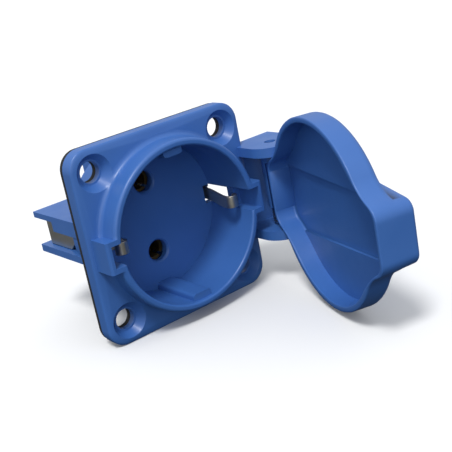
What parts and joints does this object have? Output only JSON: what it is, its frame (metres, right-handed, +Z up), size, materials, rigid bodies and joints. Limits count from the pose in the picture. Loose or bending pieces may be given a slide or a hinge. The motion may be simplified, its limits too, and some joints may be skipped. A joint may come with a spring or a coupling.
{
  "type": "panel socket with hinged lid",
  "caption": "Two-pole side-earth panel socket on a square flange, with a recessed well, screw terminals behind it and a sprung hinged lid.",
  "frame": {"origin": "centre of the flange on the panel face, which is the rear face of the gasket", "axes": "-Y out of the panel to the user, +Z up, +X to the hinge side; the hinge axis is parallel to Z"},
  "size_m": [0.062, 0.0977, 0.05],
  "materials": {
    "blue_moulding": "satin",
    "black_rubber": "matte",
    "tinned_strap": "satin",
    "contact_brass": "satin",
    "screw_steel": "satin",
    "spring_steel": "polished"
  },
  "bodies": {
    "socket": {"front_housing": "blue_moulding", "contact_carrier": "blue_moulding", "flange_gasket": "black_rubber", "earth_strap": "tinned_strap", "earth_terminal_screw": "screw_steel", "earth_clamp_plate": "screw_steel", "earth_terminal_nut": "contact_brass", "live_contact": "contact_brass", "neutral_contact": "contact_brass", "live_sleeve_spring": "spring_steel", "neutral_sleeve_spring": "spring_steel", "live_terminal_screw": "screw_steel", "neutral_terminal_screw": "screw_steel", "live_clamp_plate": "spring_steel", "neutral_clamp_plate": "spring_steel", "carrier_screw_left": "screw_steel", "carrier_screw_right": "screw_steel", "hinge_pin": "screw_steel", "lid_spring": "spring_steel"},
    "lid": {"lid": "blue_moulding"}
  },
  "joints": [
    {"name": "lid_hinge", "type": "hinge", "parent": "socket", "child": "lid", "pos_m": [0.03, -0.0105, 0], "axis": [0, 0, 1], "range_deg": [-72.6, 37.4], "stiffness_Nm_per_rad": 0.012, "springref_deg": -126.05, "deforming": ["lid_spring"]}
  ]
}
